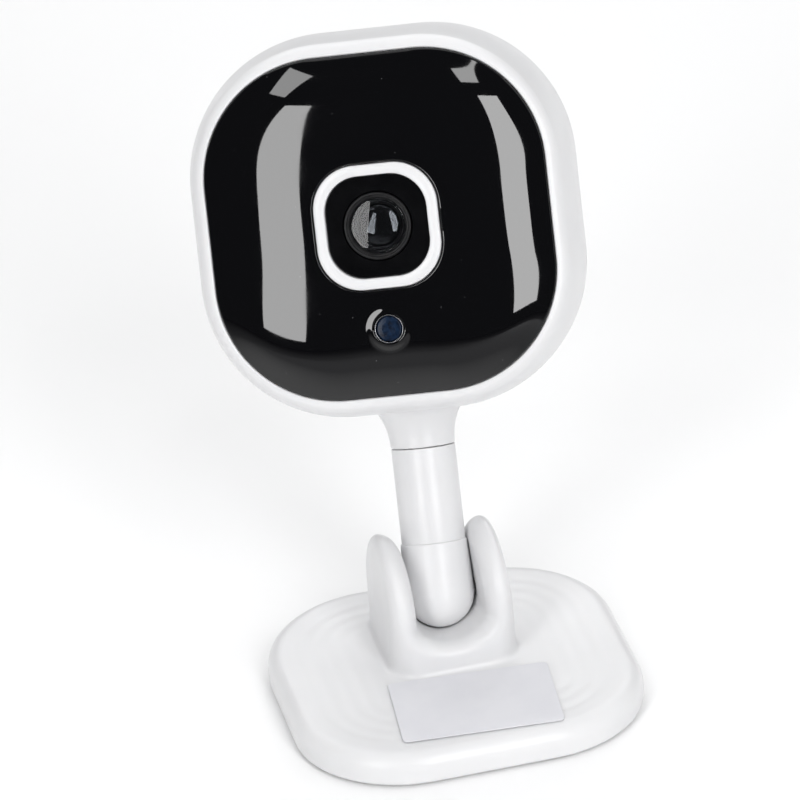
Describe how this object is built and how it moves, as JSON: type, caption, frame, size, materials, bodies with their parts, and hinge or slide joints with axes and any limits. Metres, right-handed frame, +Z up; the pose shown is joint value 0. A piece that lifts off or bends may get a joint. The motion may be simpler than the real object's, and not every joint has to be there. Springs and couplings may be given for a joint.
{
  "type": "security camera",
  "caption": "Small indoor security camera: square white head with domed black face on an arm that tilts in a yoke on a flat base and swivels at the neck.",
  "frame": {"origin": "centre of the foot pad, on the surface that the camera stands on", "axes": "+Z up, -Y towards the front of the base (the side with the label), +X to the right seen from the front. At rest the head leans back and is turned a little towards -X."},
  "size_m": [0.0678, 0.0855, 0.1143],
  "materials": {
    "white_shell": "satin moulded",
    "black_gloss": "polished, infrared clear",
    "black_plastic": "satin black",
    "lens_glass": "coated, polished",
    "sensor_glass": "clear dome, bluish",
    "silver_trim": "plated",
    "label": "blank light grey sticker",
    "steel": "zinc plated",
    "rubber": "soft matte",
    "circuit_board": "solder mask green",
    "chip": "moulded black",
    "lamp_resin": "smoked clear",
    "status_resin": "clear",
    "speaker_steel": "dark",
    "copper_film": "film"
  },
  "bodies": {
    "base": {"base_shell": "white_shell", "base_weight": "steel", "base_cover": "white_shell", "foot_pad": "rubber", "base_label": "label", "base_screw_1": "steel", "base_screw_2": "steel", "base_screw_3": "steel", "base_screw_4": "steel"},
    "arm": {"tilt_knuckle": "white_shell", "pivot_pin": "steel", "swivel_post": "white_shell", "swivel_friction_ring": "rubber", "swivel_washer": "steel", "swivel_screw": "steel"},
    "head": {"front_bezel": "white_shell", "rear_housing": "white_shell", "lens_ring": "white_shell", "front_panel": "black_gloss", "lens_window": "black_gloss", "lens_barrel": "black_plastic", "lens_holder": "black_plastic", "board_connector": "black_plastic", "lens_glass": "lens_glass", "light_sensor": "sensor_glass", "light_sensor_sleeve": "silver_trim", "wifi_module": "silver_trim", "card_socket": "steel", "usb_port": "steel", "housing_screw_1": "steel", "housing_screw_2": "steel", "housing_screw_3": "steel", "housing_screw_4": "steel", "board_screw_1": "steel", "board_screw_2": "steel", "main_board": "circuit_board", "led_board": "circuit_board", "io_board": "circuit_board", "image_sensor": "chip", "processor": "chip", "reset_switch": "chip", "microphone": "chip", "ir_led_1": "lamp_resin", "ir_led_2": "lamp_resin", "ir_led_3": "lamp_resin", "ir_led_4": "lamp_resin", "ir_led_5": "lamp_resin", "ir_led_6": "lamp_resin", "status_led": "status_resin", "speaker": "speaker_steel", "wifi_antenna": "copper_film"},
    "reset_button": {"reset_button": "white_shell"}
  },
  "joints": [
    {"name": "tilt", "type": "hinge", "parent": "base", "child": "arm", "pos_m": [0, 0.0076, 0.0149], "axis": [0.998, 0, -0.0628], "range_deg": [-35, 85]},
    {"name": "swivel", "type": "hinge", "parent": "arm", "child": "head", "pos_m": [0, 0.0076, 0.0149], "axis": [0.0569, 0.4242, 0.9038], "continuous": true},
    {"name": "reset_press", "type": "slide", "parent": "head", "child": "reset_button", "axis": [-0.2847, -0.8608, 0.4219], "range_m": [0, 0.0004], "stiffness_N_per_m": 300}
  ]
}
